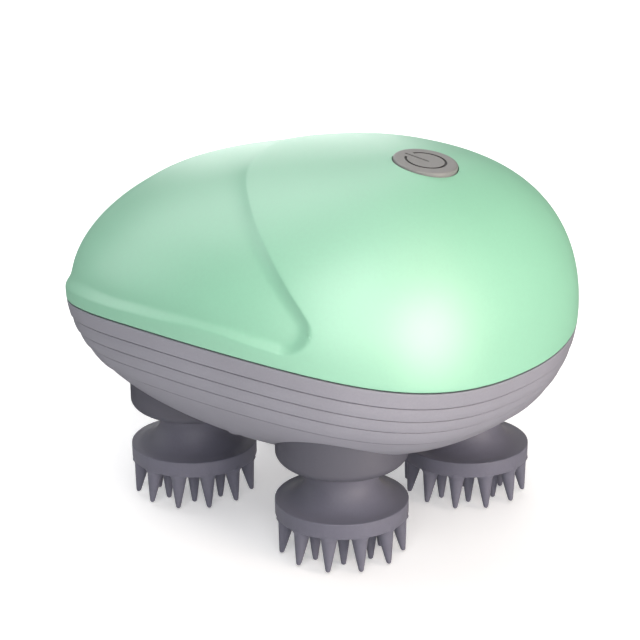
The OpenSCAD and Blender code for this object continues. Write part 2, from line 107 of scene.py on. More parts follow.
def skirt_height(x):
    """Height of the skirt's top edge above the parting line."""
    return np.interp(x, [-58, -35, -5, 7, 16, 22, 27, 34], [2.75, 2.75, 2.8, 3.2, 3.75, 3.85, 3.5, 3.1])


def ledge_width(x):
    """Height of the lit ledge between the skirt's edge and the recessed tail."""
    return np.interp(x, [-58, -27, -9, 5, 18, 30, 36], [3.9, 3.6, 2.1, 1.8, 1.6, 1.4, 1.4])


HOOK_R = 4.4


def hook():
    """Where both edges of the recess are HOOK_R away, with the outward normals there."""
    x = np.linspace(5, 40, 7001)
    z = seam_z(x) + skirt_height(x) + HOOK_R
    d = HOOD_R - np.hypot(x - HOOD_C[0], z - HOOD_C[1])
    k = int(np.argmin(np.abs(d - HOOK_R)))
    cx, cz = x[k], z[k]
    n1 = np.array([cx - HOOD_C[0], cz - HOOD_C[1]])
    n1 = n1 / np.linalg.norm(n1)
    slope = (seam_z(cx + 0.5) - seam_z(cx - 0.5))
    n2 = np.array([slope, -1.0])
    n2 = n2 / np.linalg.norm(n2)
    return cx, cz, n1, n2, n1[0] * n2[1] - n1[1] * n2[0]


HOOK = hook()


def recess(p):
    """How far the surface stands back from the full shape at p, in millimetres."""
    x, z = p[..., 0], p[..., 2]
    d1 = HOOD_R - np.hypot(x - HOOD_C[0], z - HOOD_C[1])
    d2 = z - seam_z(x) - skirt_height(x)
    # the lower front corner of the recess is rounded: HOOK holds the centre of the rounding and the cone of its two normals
    cx, cz, n1, n2, det = HOOK
    vx, vz = x - cx, z - cz
    a = (vx * n2[1] - vz * n2[0]) / det
    b = (n1[0] * vz - n1[1] * vx) / det
    e = np.where((a > 0) & (b > 0), HOOK_R - np.hypot(vx, vz), np.minimum(d1, d2))
    soft = 0.075
    e = 0.5 * (e + np.sqrt(e * e + 4 * soft * soft)) - 0.02
    hood = 1 - (1 - np.clip(e / 2.4, 0, 1)) ** 2.2
    q = 0.5 * (d2 + np.sqrt(d2 * d2 + 4 * 0.2 ** 2)) - 0.06
    ledge = 1 - (1 - np.clip(q / ledge_width(x), 0, 1)) ** 1.9
    return HOOD_DEPTH * hood * ledge


def dome_outer(t, s):
    w = recess(dome(t, s))
    return dome(t, s, w)


# ---------------------------------------------------------------- mesh helpers
def new_object(name, verts, faces, mats=(), smooth_shade=True, scale=MM):
    me = bpy.data.meshes.new(name)
    me.from_pydata([tuple(v) for v in (np.asarray(verts, float) * scale)], [], [tuple(int(i) for i in f) for f in faces])
    me.update()
    for m in mats:
        me.materials.append(m)
    if smooth_shade:
        me.polygons.foreach_set("use_smooth", [True] * len(me.polygons))
    o = bpy.data.objects.new(name, me)
    bpy.context.scene.collection.objects.link(o)
    return o


def ring_quads(a, b, n, flip=False):
    i = np.arange(n)
    j = (i + 1) % n
    q = np.stack([a + i, a + j, b + j, b + i], 1)
    return q[:, ::-1] if flip else q


def closed_rings(rings, start=None, end=None):
    """Verts and faces of stacked rings; start and end are pole points. Rings go so that outward faces come from ring k to k+1 counter-clockwise."""
    n = len(rings[0])
    verts = np.concatenate(rings, 0)
    faces = []
    for k in range(len(rings) - 1):
        faces.append(ring_quads(k * n, (k + 1) * n, n))
    faces = [f for q in faces for f in q.tolist()]
    total = len(verts)
    if start is not None:
        verts = np.concatenate([verts, [start]], 0)
        faces += [[total, (i + 1) % n, i] for i in range(n)]
        total += 1
    if end is not None:
        verts = np.concatenate([verts, [end]], 0)
        b = (len(rings) - 1) * n
        faces += [[total, b + i, b + (i + 1) % n] for i in range(n)]
    return verts, faces


def lathe(profile, n=96, centre=(0, 0), closed_loop=False):
    """Revolves (r, z) points about the vertical through centre. An open profile starts and ends on the axis."""
    t = np.linspace(0, 2 * np.pi, n, endpoint=False)
    pts = [p for p in profile]
    if closed_loop:
        rings = [np.stack([centre[0] + r * np.cos(t), centre[1] + r * np.sin(t), np.full(n, z)], -1) for r, z in pts]
        verts = np.concatenate(rings, 0)
        faces = []
        m = len(rings)
        for k in range(m):
            faces += ring_quads(k * n, ((k + 1) % m) * n, n).tolist()
        return verts, faces
    rings = [np.stack([centre[0] + r * np.cos(t), centre[1] + r * np.sin(t), np.full(n, z)], -1) for r, z in pts[1:-1]]
    return closed_rings(rings, (centre[0], centre[1], pts[0][1]), (centre[0], centre[1], pts[-1][1]))


def fix_normals(o):
    bm = bmesh.new()
    bm.from_mesh(o.data)
    bmesh.ops.recalc_face_normals(bm, faces=bm.faces)
    bm.to_mesh(o.data)
    bm.free()
    return o


def solid(name, vf, mats=()):
    return fix_normals(new_object(name, vf[0], vf[1], mats))


def cyl(r, z0, z1, c=(0, 0), n=48, name="op"):
    return solid(name, lathe([(0, z0), (r, z0), (r, z1), (0, z1)], n, c))


def block(lo, hi, name="op"):
    x0, y0, z0 = lo
    x1, y1, z1 = hi
    v = [(x0, y0, z0), (x1, y0, z0), (x1, y1, z0), (x0, y1, z0), (x0, y0, z1), (x1, y0, z1), (x1, y1, z1), (x0, y1, z1)]
    f = [(0, 3, 2, 1), (4, 5, 6, 7), (0, 1, 5, 4), (1, 2, 6, 5), (2, 3, 7, 6), (3, 0, 4, 7)]
    return solid(name, (v, f))


def moved(o, matrix_mm):
    """Moves the mesh of o by a matrix in millimetres."""
    m = matrix_mm.copy()
    m.translation = m.translation * MM
    o.data.transform(m)
    return o


def join_ops(ops):
    """One mesh object of several operands that don't touch each other."""
    bm = bmesh.new()
    for o in ops:
        bm.from_mesh(o.data)
    for o in ops[1:]:
        bpy.data.objects.remove(o, do_unlink=True)
    bm.to_mesh(ops[0].data)
    bm.free()
    return ops[0]


def boolean(o, ops, kind):
    """Applies a union or difference of each operand to o, and removes the operands."""
    for op in ops:
        mod = o.modifiers.new("b", "BOOLEAN")
        mod.operation, mod.solver, mod.object = kind, "MANIFOLD", op
    dg = bpy.context.evaluated_depsgraph_get()
    dg.update()
    me = bpy.data.meshes.new_from_object(o.evaluated_get(dg), depsgraph=dg)
    o.modifiers.clear()
    old = o.data
    o.data = me
    name = old.name
    bpy.data.meshes.remove(old)
    me.name = name
    for op in ops:
        bpy.data.objects.remove(op, do_unlink=True)
    return o


def smooth_by_angle(o, deg=32):
    me = o.data
    me.polygons.foreach_set("use_smooth", [True] * len(me.polygons))
    bm = bmesh.new()
    bm.from_mesh(me)
    lim = math.radians(deg)
    for e in bm.edges:
        e.smooth = not (len(e.link_faces) == 2 and e.calc_face_angle(0) > lim)
    bm.to_mesh(me)
    bm.free()


# ---------------------------------------------------------------- materials
def lin(c):
    return tuple((v / 12.92 if v <= 0.04045 else ((v + 0.055) / 1.055) ** 2.4) for v in c) + (1.0,)


def shade(rgb, k):
    return tuple(min(1, max(0, v * k)) for v in rgb)


def material(name, rgb, rough=0.4, metal=0.0, spread=0.03, rough_spread=0.05, noise=900.0, bump=0.05, bump_scale=2500.0,
             bump_dist=0.00005, coat=0.0, coat_rough=0.2, sss=0.0, sss_radius=0.003, spec=0.5, stretch=(1, 1, 1), sheen=0.0, blotch=60.0, ior=1.5):
    """A moulded or turned finish: colour and gloss vary a little with two noises, and a fine bump gives the surface its grain."""
    m = bpy.data.materials.new(name)
    m.use_nodes = True
    nt = m.node_tree
    nt.nodes.clear()
    out = nt.nodes.new("ShaderNodeOutputMaterial")
    p = nt.nodes.new("ShaderNodeBsdfPrincipled")
    nt.links.new(p.outputs[0], out.inputs[0])
    co = nt.nodes.new("ShaderNodeTexCoord")
    mp = nt.nodes.new("ShaderNodeMapping")
    mp.inputs["Scale"].default_value = stretch
    nt.links.new(co.outputs["Object"], mp.inputs["Vector"])
    n1 = nt.nodes.new("ShaderNodeTexNoise")
    n1.inputs["Scale"].default_value = noise
    n1.inputs["Detail"].default_value = 3
    nt.links.new(mp.outputs[0], n1.inputs["Vector"])
    n2 = nt.nodes.new("ShaderNodeTexNoise")
    n2.inputs["Scale"].default_value = blotch
    n2.inputs["Detail"].default_value = 2
    nt.links.new(mp.outputs[0], n2.inputs["Vector"])
    mixf = nt.nodes.new("ShaderNodeMix")
    mixf.data_type = "FLOAT"
    mixf.inputs[0].default_value = 0.5
    nt.links.new(n1.outputs[0], mixf.inputs[2])
    nt.links.new(n2.outputs[0], mixf.inputs[3])
    ramp = nt.nodes.new("ShaderNodeValToRGB")
    ramp.color_ramp.elements[0].position = 0.35
    ramp.color_ramp.elements[1].position = 0.65
    ramp.color_ramp.elements[0].color = lin(shade(rgb, 1 - spread))
    ramp.color_ramp.elements[1].color = lin(shade(rgb, 1 + spread))
    nt.links.new(mixf.outputs[0], ramp.inputs[0])
    nt.links.new(ramp.outputs[0], p.inputs["Base Color"])
    mr = nt.nodes.new("ShaderNodeMapRange")
    mr.inputs[1].default_value, mr.inputs[2].default_value = 0.3, 0.7
    mr.inputs[3].default_value, mr.inputs[4].default_value = max(0.02, rough - rough_spread), min(1, rough + rough_spread)
    nt.links.new(n1.outputs[0], mr.inputs[0])
    nt.links.new(mr.outputs[0], p.inputs["Roughness"])
    n3 = nt.nodes.new("ShaderNodeTexNoise")
    n3.inputs["Scale"].default_value = bump_scale
    n3.inputs["Detail"].default_value = 2
    nt.links.new(mp.outputs[0], n3.inputs["Vector"])
    bp = nt.nodes.new("ShaderNodeBump")
    bp.inputs["Strength"].default_value = bump
    bp.inputs["Distance"].default_value = bump_dist
    nt.links.new(n3.outputs[0], bp.inputs["Height"])
    nt.links.new(bp.outputs[0], p.inputs["Normal"])
    p.inputs["Metallic"].default_value = metal
    p.inputs["Specular IOR Level"].default_value = spec
    p.inputs["IOR"].default_value = ior
    p.inputs["Coat Weight"].default_value = coat
    p.inputs["Coat Roughness"].default_value = coat_rough
    p.inputs["Sheen Weight"].default_value = sheen
    if sss:
        p.inputs["Subsurface Weight"].default_value = sss
        p.inputs["Subsurface Radius"].default_value = (1.0, 1.0, 0.8)
        p.inputs["Subsurface Scale"].default_value = sss_radius
    return m


MAT = {
    "cover": material("mint_plastic", (0.555, 0.792, 0.671), rough=0.48, spread=0.012, rough_spread=0.04, noise=1400, bump=0.10, bump_scale=4200, bump_dist=0.00003, spec=1.0, ior=1.72, blotch=45),
    "cover_inside": material("mint_plastic_inside", (0.54, 0.80, 0.67), rough=0.5, spread=0.02),
    "case": material("grey_plastic", (0.547, 0.544, 0.582), rough=0.52, spread=0.022, rough_spread=0.05, noise=2200, bump=0.35, bump_scale=3000, bump_dist=0.00006, blotch=70),
    "collar": material("collar_plastic", (0.346, 0.344, 0.384), rough=0.5, spread=0.02, rough_spread=0.05, noise=1800, bump=0.2, bump_scale=3200, bump_dist=0.00004),
    "silicone": material("silicone", (0.397, 0.395, 0.45), rough=0.56, spread=0.03, rough_spread=0.06, noise=1500, bump=0.16, bump_scale=3600, bump_dist=0.00004, sheen=0.12),
    "button": material("button_plastic", (0.53, 0.527, 0.523), rough=0.42, spread=0.02, noise=1800, bump=0.15, bump_scale=4000, bump_dist=0.00003),
    "mark": material("button_mark", (0.27, 0.265, 0.265), rough=0.5, spread=0.03),
    "seal": material("seal_rubber", (0.16, 0.16, 0.17), rough=0.75, spread=0.06, bump=0.2),
    "plug": material("plug_rubber", (0.56, 0.56, 0.58), rough=0.62, spread=0.04, bump=0.2, bump_scale=3000),
    "board": material("solder_resist", (0.07, 0.36, 0.20), rough=0.35, spread=0.18, noise=500, coat=0.3, blotch=300),
    "chip": material("chip_resin", (0.07, 0.07, 0.08), rough=0.6, spread=0.1, bump=0.3),
    "switch": material("switch_body", (0.13, 0.13, 0.14), rough=0.45, spread=0.08),
    "cell": material("cell_sleeve", (0.12, 0.30, 0.62), rough=0.25, spread=0.05, coat=0.4),
    "inner": material("inner_plastic", (0.22, 0.22, 0.24), rough=0.5, spread=0.06, bump=0.25),
    "gear": material("acetal", (0.92, 0.90, 0.84), rough=0.38, spread=0.03, sss=0.15, sss_radius=0.002),
    "steel": material("ground_steel", (0.74, 0.74, 0.76), rough=0.28, metal=1.0, spread=0.08, rough_spread=0.12, noise=600, stretch=(1, 1, 14)),
    "can": material("plated_steel", (0.72, 0.72, 0.74), rough=0.35, metal=1.0, spread=0.06, rough_spread=0.1, noise=800, stretch=(6, 6, 1)),
    "brass": material("machined_brass", (0.80, 0.66, 0.36), rough=0.28, metal=1.0, spread=0.08, noise=900),
    "bronze": material("sintered_bronze", (0.70, 0.50, 0.32), rough=0.5, metal=1.0, spread=0.14, noise=2500, bump=0.4, bump_scale=3500),
    "lens": material("frosted_lens", (0.90, 0.93, 0.90), rough=0.3, spread=0.02, sss=0.4),
}

SLOT_OF = {s["node"]: s["material_slot"] for s in frame["record"]["subparts"]}
for node_name, node_obj in frame["nodes"].items():
    mat = MAT[SLOT_OF[node_name]]
    me = node_obj.data
    if len(me.materials) == 0:
        me.materials.append(mat)
    for slot_ in node_obj.material_slots:
        slot_.link = "OBJECT"
        slot_.material = mat


# ---------------------------------------------------------------- top cover
def columns(n_base=560):
    """Angles round the body, closer together at the hook of the hood's edge."""
    t = np.linspace(0, 2 * np.pi, 7201)
    p = dome(t, np.full_like(t, 0.06))
    step = np.hypot(np.diff(p[:, 0]), np.diff(p[:, 1]))
    xm = 0.5 * (p[1:, 0] + p[:-1, 0])
    dens = 1 + 3.2 * np.exp(-(((xm - 32.0) / 3.4) ** 4))
    acc = np.concatenate([[0], np.cumsum(step * dens)])
    return np.interp(np.linspace(0, acc[-1], n_base, endpoint=False), acc, t)


def spaced(a, b, n, power=1.0):
    """n values from just after a to b."""
    u = (np.arange(1, n + 1) / n) ** power
    return a + (b - a) * u


def build_cover():
    T = columns()
    n = len(T)
    fine = np.linspace(0, 1, 4001) ** 1.6
    s_skirt, s_hood = np.zeros(n), np.zeros(n)
    per_mm = np.zeros(n)
    for i, t in enumerate(T):
        p = dome(np.full_like(fine, t), fine)
        d2 = p[:, 2] - seam_z(p[:, 0]) - skirt_height(p[:, 0])
        s_skirt[i] = fine[np.argmax(d2 > 0)]
        arc = np.concatenate([[0], np.cumsum(np.linalg.norm(np.diff(p, axis=0), axis=1))])
        d1 = HOOD_R - np.hypot(p[:, 0] - HOOD_C[0], p[:, 2] - HOOD_C[1])
        inside = np.nonzero(d1 > 0)[0]
        a_sk = np.interp(s_skirt[i], fine, arc)
        a_h = arc[inside[-1]] if len(inside) else 0
        a_h = max(a_h, a_sk + 6.2)
        s_hood[i] = a_h
        per_mm[i] = a_sk
    # work in arc length, and back to s for each column
    rows = []
    g = 0.15
    lower = [(SEAM - g - 0.22 * (1 - math.sin(a)), 0.22 * (1 - math.cos(a))) for a in np.radians([90, 68, 45, 22, 0])]
    for d, w in lower:
        rows.append(bowl(T, np.full(n, d), w))
    for d in np.linspace(SEAM - g - 0.5, 0.25, 5):
        rows.append(bowl(T, np.full(n, d), 0.0))
    arcs_all = []
    S = []
    for i, t in enumerate(T):
        p = dome(np.full_like(fine, t), fine)
        arc = np.concatenate([[0], np.cumsum(np.linalg.norm(np.diff(p, axis=0), axis=1))])
        sk, hd, end = per_mm[i], s_hood[i], arc[-1]
        a = np.concatenate([
            [0.0],
            spaced(0, max(0.3, sk - 0.35), 4),
            spaced(max(0.3, sk - 0.35), sk + 0.6, 8),
            spaced(sk + 0.6, sk + 4.2, 12),
            spaced(sk + 4.2, hd - 2.0, 34),
            spaced(hd - 2.0, hd - 0.35, 11),
            spaced(hd - 0.35, hd + 0.35, 9),
            spaced(hd + 0.35, hd + 1.2, 2),
            spaced(hd + 1.2, end - 0.25, 46),
        ])
        a = np.maximum.accumulate(a)
        S.append(np.interp(a, arc, fine))
    S = np.array(S)
    for k in range(S.shape[1]):
        rows.append(dome_outer(T, S[:, k]))
    top = dome(np.array([0.0]), np.array([1.0]))[0]
    inner_rows = [bowl(T, np.full(n, SEAM - g), 2.2)] + [dome(T, np.full(n, s), 2.2) for s in (0, 0.06, 0.12, 0.18, 0.25, 0.32, 0.4, 0.48, 0.55, 0.62, 0.7, 0.76, 0.82, 0.87, 0.92, 0.96, 0.985)]
    in_top = dome(np.array([0.0]), np.array([1.0]), 2.2)[0]
    rings = inner_rows[::-1] + rows
    verts, faces = closed_rings(rings, in_top, top)
    o = fix_normals(new_object("cover", verts, faces, [MAT["cover"], MAT["cover_inside"]]))
    # bosses, block and ledges inside
    adds = []
    for i, c in enumerate(CASE_SCREWS):
        top_h = 22 if i < 2 else 26.5
        adds.append(cyl(3.2, 45, 45 + top_h, c, 40))
        adds.append(cyl(1.6, 46, 45 + top_h + (2 if i < 2 else 2.6), c, 24))
    for y in (-10.5, 10.5):
        adds.append(moved(cyl(2.2, -8.9, -3.6, (-16, y), 32), BOARD))
    adds.append(block((-55.8, -9.5, 40.4), (-53.4, 9.5, 48.4)))
    for y in (-8, 6):
        adds.append(block((-55.2, y, 40.4), (-43.2, y + 2, 42.2)))
    adds.append(moved(cyl(BUTTON_R + 1.8, -4.1, -2.1, n=72), BUTTON))
    boolean(o, adds, "UNION")
    cuts = [moved(solid("op", lathe([(0, -5), (BUTTON_R + 0.2, -5), (BUTTON_R + 0.2, 7), (0, 7)], 160)), BUTTON)]
    for c in CASE_SCREWS:
        cuts.append(cyl(1.1, 44, 53, c, 24))
    for y in (-10.5, 10.5):
        cuts.append(moved(cyl(0.8, -9.5, -4.5, (-16, y), 20), BOARD))
    cuts.append(block((-60, -4.7, 43.2), (-50, 4.7, 46.9)))
    cuts.append(block((-60, -7.4, 40.9), (-55.4, 7.4, 48.6)))
    turn = Matrix.Translation((-56.2, 0, 42.35)) @ Matrix.Rotation(math.radians(90), 4, "X")
    cuts.append(moved(cyl(0.5, -8.4, 8.4, n=32), turn))
    turn = Matrix.Translation((-60, 12.4, 46.5)) @ Matrix.Rotation(math.radians(90), 4, "Y")
    cuts.append(moved(cyl(1.0, 0, 10, n=32), turn))
    boolean(o, cuts, "DIFFERENCE")
    smooth_by_angle(o, 34)
    return o


cover = build_cover()
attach(cover, "body")
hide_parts("top_cover")


# ---------------------------------------------------------------- bottom case
def case_profile():
    """(depth, inset) pairs down the outside of the case, from the parting line to the flat underside."""
    g = 0.15
    out = [(SEAM + g + 0.2 * (1 - math.cos(a)), 0.2 * (1 - math.sin(a))) for a in np.radians([0, 25, 50, 70, 90])]
    prev = SEAM + g + 0.3
    for k, b in enumerate(BANDS):
        top_w = 0.0 if k == 0 else 0.30
        hgt = b - prev
        for u in (0.0, 0.12, 0.25, 0.4, 0.55, 0.7, 0.85, 0.94):
            w = top_w * (1 - min(1, u / 0.75)) ** 1.6
            if k == 0 and u == 0.0:
                continue
            out.append((prev + hgt * u, w))
        out += [(b - 0.10, 0.0), (b - 0.03, 0.03), (b + 0.0, 0.10), (b + 0.015, 0.35), (b + 0.05, 0.62), (b + 0.17, 0.66), (b + 0.27, 0.55), (b + 0.34, 0.36)]
        prev = b + 0.42
    out += [(prev, 0.33), (prev + 0.2, 0.40), (prev + 0.5, 0.45)]
    for d in np.linspace(18.0, 30.2, 22):
        out.append((d, 0.45))
    out += [(30.5, 0.46), (30.75, 0.55), (30.88, 0.72), (BOWL_D, 0.95)]
    return out


def build_case():
    t = np.linspace(0, 2 * np.pi, 7201)
    p = dome(t, np.full_like(t, 0.0))
    acc = np.concatenate([[0], np.cumsum(np.hypot(np.diff(p[:, 0]), np.diff(p[:, 1])))])
    T = np.interp(np.linspace(0, acc[-1], 400, endpoint=False), acc, t)
    n = len(T)
    outer = [bowl(T, np.full(n, d), w) for d, w in case_profile()]
    inner = [bowl(T, np.full(n, d), 2.4, 2.4) for d in (SEAM + 0.15, 4, 6, 8.5, 11, 13.5, 16, 18, 20, 22, 24, 25.5, 27, 28, BOWL_D - 2.4)]
    centre_out = (8.96, 0, ZB)
    centre_in = (8.96, 0, ZB + 2.4)
    # a few rings across the flat underside and floor keep the faces even
    flat_out = [np.stack([8.96 + (outer[-1][:, 0] - 8.96) * k, outer[-1][:, 1] * k, np.full(n, ZB)], -1) for k in (0.7, 0.4, 0.15)]
    flat_in = [np.stack([8.96 + (inner[-1][:, 0] - 8.96) * k, inner[-1][:, 1] * k, np.full(n, ZB + 2.4)], -1) for k in (0.7, 0.4, 0.15)]
    rings = flat_in[::-1] + inner[::-1] + outer + flat_out
    verts, faces = closed_rings(rings, centre_in, centre_out)
    o = fix_normals(new_object("case", verts, faces, [MAT["case"]]))
    holes = [cyl(12, 15, 45, (HX + sx * HDX, sy * HDY), 96) for sx, sy in HEADS.values()]
    boolean(o, holes, "DIFFERENCE")
    adds = []
    for sx, sy in HEADS.values():
        c = (HX + sx * HDX, sy * HDY)
        prof = [(5, 18.2), (5, 20.2), (3.4, 20.2), (3.4, 30.8), (6.6, 30.8), (6.6, 24.2), (10.9, 24.2), (10.9, 30.8), (12.2, 30.8), (12.2, 22), (6.6, 22), (6.6, 18.2)]
        adds.append(solid("op", lathe(prof, 72, c, True)))
    for c in POSTS:
        adds.append(cyl(3.4, 22.5, 46.2, c, 40))
    for c in CASE_SCREWS:
        adds.append(cyl(3.6, 24.5, 45, c, 40))
    adds.append(cyl(4, 22.5, 30.8, (HX, 0), 48))
    adds.append(cyl(2.3, 22.5, 30.8, (HX - 23.4, 0), 32))
    adds.append(solid("op", lathe([(0, 22.4), (7, 22.4), (7, 21.1), (6.8, 20.9), (0, 20.9)], 96, (HX, 0))))
    boolean(o, adds, "UNION")
    cuts = []
    for c in CASE_SCREWS:
        cuts.append(cyl(2.6, 18, 30, c, 48))
        cuts.append(cyl(1.35, 29, 48, c, 32))
    for c in POSTS:
        cuts.append(cyl(0.85, 38.2, 47.2, c, 24))
    cuts.append(cyl(1.5, 25, 33, (HX, 0), 32))
    cuts.append(cyl(1.0, 25, 33, (HX - 23.4, 0), 32))
    boolean(o, cuts, "DIFFERENCE")
    smooth_by_angle(o, 30)
    return o


case = build_case()
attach(case, "body")
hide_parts("bottom_case")


def bowl_solid():
    """The outside of the case as a plain closed solid, to trim what meets it."""
    t = np.linspace(0, 2 * np.pi, 7201)
    p = dome(t, np.full_like(t, 0.0))
    acc = np.concatenate([[0], np.cumsum(np.hypot(np.diff(p[:, 0]), np.diff(p[:, 1])))])
    T = np.interp(np.linspace(0, acc[-1], 400, endpoint=False), acc, t)
    n = len(T)
    rings = [bowl(T, np.full(n, d), w) for d, w in case_profile() if d > 12.9]
    flat = [np.stack([8.96 + (rings[-1][:, 0] - 8.96) * k, rings[-1][:, 1] * k, np.full(n, ZB)], -1) for k in (0.7, 0.4, 0.15)]
    return fix_normals(new_object("op", *closed_rings(rings + flat, (8.96, 0, 45), (8.96, 0, ZB))))


# ---------------------------------------------------------------- collars
def arc_pts(cx, cz, rx, rz, a0, a1, n):
    return [(cx + rx * math.cos(a), cz + rz * math.sin(a)) for a in np.radians(np.linspace(a0, a1, n))]


def build_collar(key):
    sx, sy = HEADS[key]
    c = (HX + sx * HDX, sy * HDY)
    out = [(13.85, 31), (13.85, 27), (13.85, 24.5)] + arc_pts(7.75, 22.5, 6.1, 3.0, 0, -84, 22)
    lip = arc_pts(8.05, 19.8, 0.3, 0.3, -100, -180, 6)
    inn = [(7.75, 20.42)] + arc_pts(7.75, 21.95, 4.45, 1.45, -78, 0, 14) + [(12.2, 31)]
    o = solid("collar_" + key + "_shape", lathe(out + lip + inn, 120, c, True), [MAT["collar"]])
    boolean(o, [bowl_solid()], "DIFFERENCE")
    smooth_by_angle(o, 34)
    return o


for key in HEADS:
    o = build_collar(key)
    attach(o, "body")
    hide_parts("collar_" + key)


# ---------------------------------------------------------------- finger pads
def finger(rb, rt, z_tip, lean, at, n=28):
    """A tapering finger with a rounded tip and a small fillet at its root. It stands in the disc."""
    zt = z_tip + rt
    zr = 8.4
    prof = [(0, z_tip)]
    for a in np.radians([18, 36, 54, 72, 86]):
        prof.append((rt * math.sin(a), zt - rt * math.cos(a)))
    for u in np.linspace(0.08, 1, 12):
        z = zt + (zr - zt) * u
        r = rt + (rb - rt) * (u ** 0.93)
        k = max(0.0, (u - 0.86) / 0.14)
        prof.append((r + 0.42 * k * k, z))
    prof += [(rb + 0.42, zr + 0.5), (0, zr + 0.5)]
    v, f = lathe(prof, n)
    # the lean shifts each level sideways, and the tip ends at its place
    v = np.array(v)
    v[:, 0] -= lean * (v[:, 2] - z_tip) / (zr - z_tip)
    v[:, 0] += at
    return v, f


def build_pad():
    z0, z1, R = 8.4, 11.85, 14.0
    out = [(0, z0), (R - 0.45, z0)] + arc_pts(R - 0.3, z0 + 0.3, 0.3, 0.3, -75, 0, 6) + [(R, z1 - 0.28)] + arc_pts(R - 0.22, z1 - 0.22, 0.22, 0.22, 12, 90, 5)
    # the concave neck
    neck = []
    for a in np.radians(np.linspace(6, 88, 22)):
        neck.append((R - 0.4 - 6.2 * math.sin(a), z1 + 5.6 * (1 - math.cos(a))))
    out += neck + [(7.4, 18.2), (7.4, 19.1), (7.3, 19.2), (7.05, 19.2), (6.95, 19.1), (6.95, 17.4), (5.05, 17.4), (5.05, 10.4), (0, 10.4)]
    o = solid("pad_shape", lathe(out, 128), [MAT["silicone"]])
    parts = []
    for k in range(12):
        v, f = finger(1.86, 0.56, 0.64, 1.28, 13.18)
        a = math.radians(30 * k)
        rot = np.array([[math.cos(a), -math.sin(a), 0], [math.sin(a), math.cos(a), 0], [0, 0, 1]])
        parts.append(solid("op", (v @ rot.T, f)))
    for k in range(8):
        v, f = finger(1.62, 0.56, 0.0, 0.0, 8.14)
        a = math.radians(45 * k)
        rot = np.array([[math.cos(a), -math.sin(a), 0], [math.sin(a), math.cos(a), 0], [0, 0, 1]])
        parts.append(solid("op", (v @ rot.T, f)))
    parts.append(solid("op", finger(1.62, 0.56, 0.0, 0.0, 0.0)))
    boolean(o, parts, "UNION")
    smooth_by_angle(o, 40)
    return o


pad0 = build_pad()
for i, (key, (sx, sy)) in enumerate(HEADS.items()):
    if i == 0:
        o = pad0
    else:
        o = bpy.data.objects.new("pad_shape", pad0.data.copy())
        bpy.context.scene.collection.objects.link(o)
    o.name = "pad_" + key + "_shape"
    o.location = (((HX + sx * HDX) * MM), sy * HDY * MM, 0)
bpy.context.view_layer.update()
for key in HEADS:
    o = bpy.data.objects["pad_" + key + "_shape"]
    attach(o, "head_" + key)
    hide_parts("pad_" + key)


# ---------------------------------------------------------------- button
def build_button():
    r = BUTTON_R
    prof = [(0, -2.6), (r - 0.3, -2.6), (r, -2.4), (r, -0.22), (r - 0.02, -0.1), (r - 0.08, 0.01), (r - 0.18, 0.09), (r - 0.32, 0.145), (r - 0.5, 0.175), (r - 0.9, 0.19), (3.0, 0.2), (0, 0.2)]
    o = solid("button_shape", lathe(prof, 144), [MAT["button"], MAT["mark"]])
    boolean(o, [cyl(1.4, -5.2, -2.2, n=32)], "UNION")
    # the stand-by mark: a broken ring and a bar, cut 0.2 mm deep
    n = 96
    gap = 20.0
    ang = np.radians(np.linspace(180 + gap, 540 - gap, n))
    ri, ro = 3.86, 4.38
    z0, z1 = -0.03, 0.8
    ring = []
    for rr, zz in ((ri, z0), (ro, z0), (ro, z1), (ri, z1)):
        ring.append(np.stack([rr * np.cos(ang), rr * np.sin(ang), np.full(n, zz)], -1))
    v = np.concatenate(ring, 0)
    f = []
    for k in range(4):
        a, b = k * n, ((k + 1) % 4) * n
        f += [[a + i, a + i + 1, b + i + 1, b + i] for i in range(n - 1)]
    f += [[0, n, 2 * n, 3 * n], [n - 1, 4 * n - 1, 3 * n - 1, 2 * n - 1]]
    mark = fix_normals(new_object("op", v, f))
    bar = block((-4.95, -0.27, z0), (0.75, 0.27, z1))
    spin = Matrix.Rotation(math.radians(9), 4, "Z")
    boolean(o, [moved(mark, spin), moved(bar, spin)], "DIFFERENCE")
    me = o.data
    for p in me.polygons:
        c = p.center / MM
        if -0.1 < c.z < 0.15 and math.hypot(c.x, c.y) < 5.3:
            p.material_index = 1
    moved(o, BUTTON)
    smooth_by_angle(o, 30)
    return o


button = build_button()
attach(button, "button")
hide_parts("power_button")

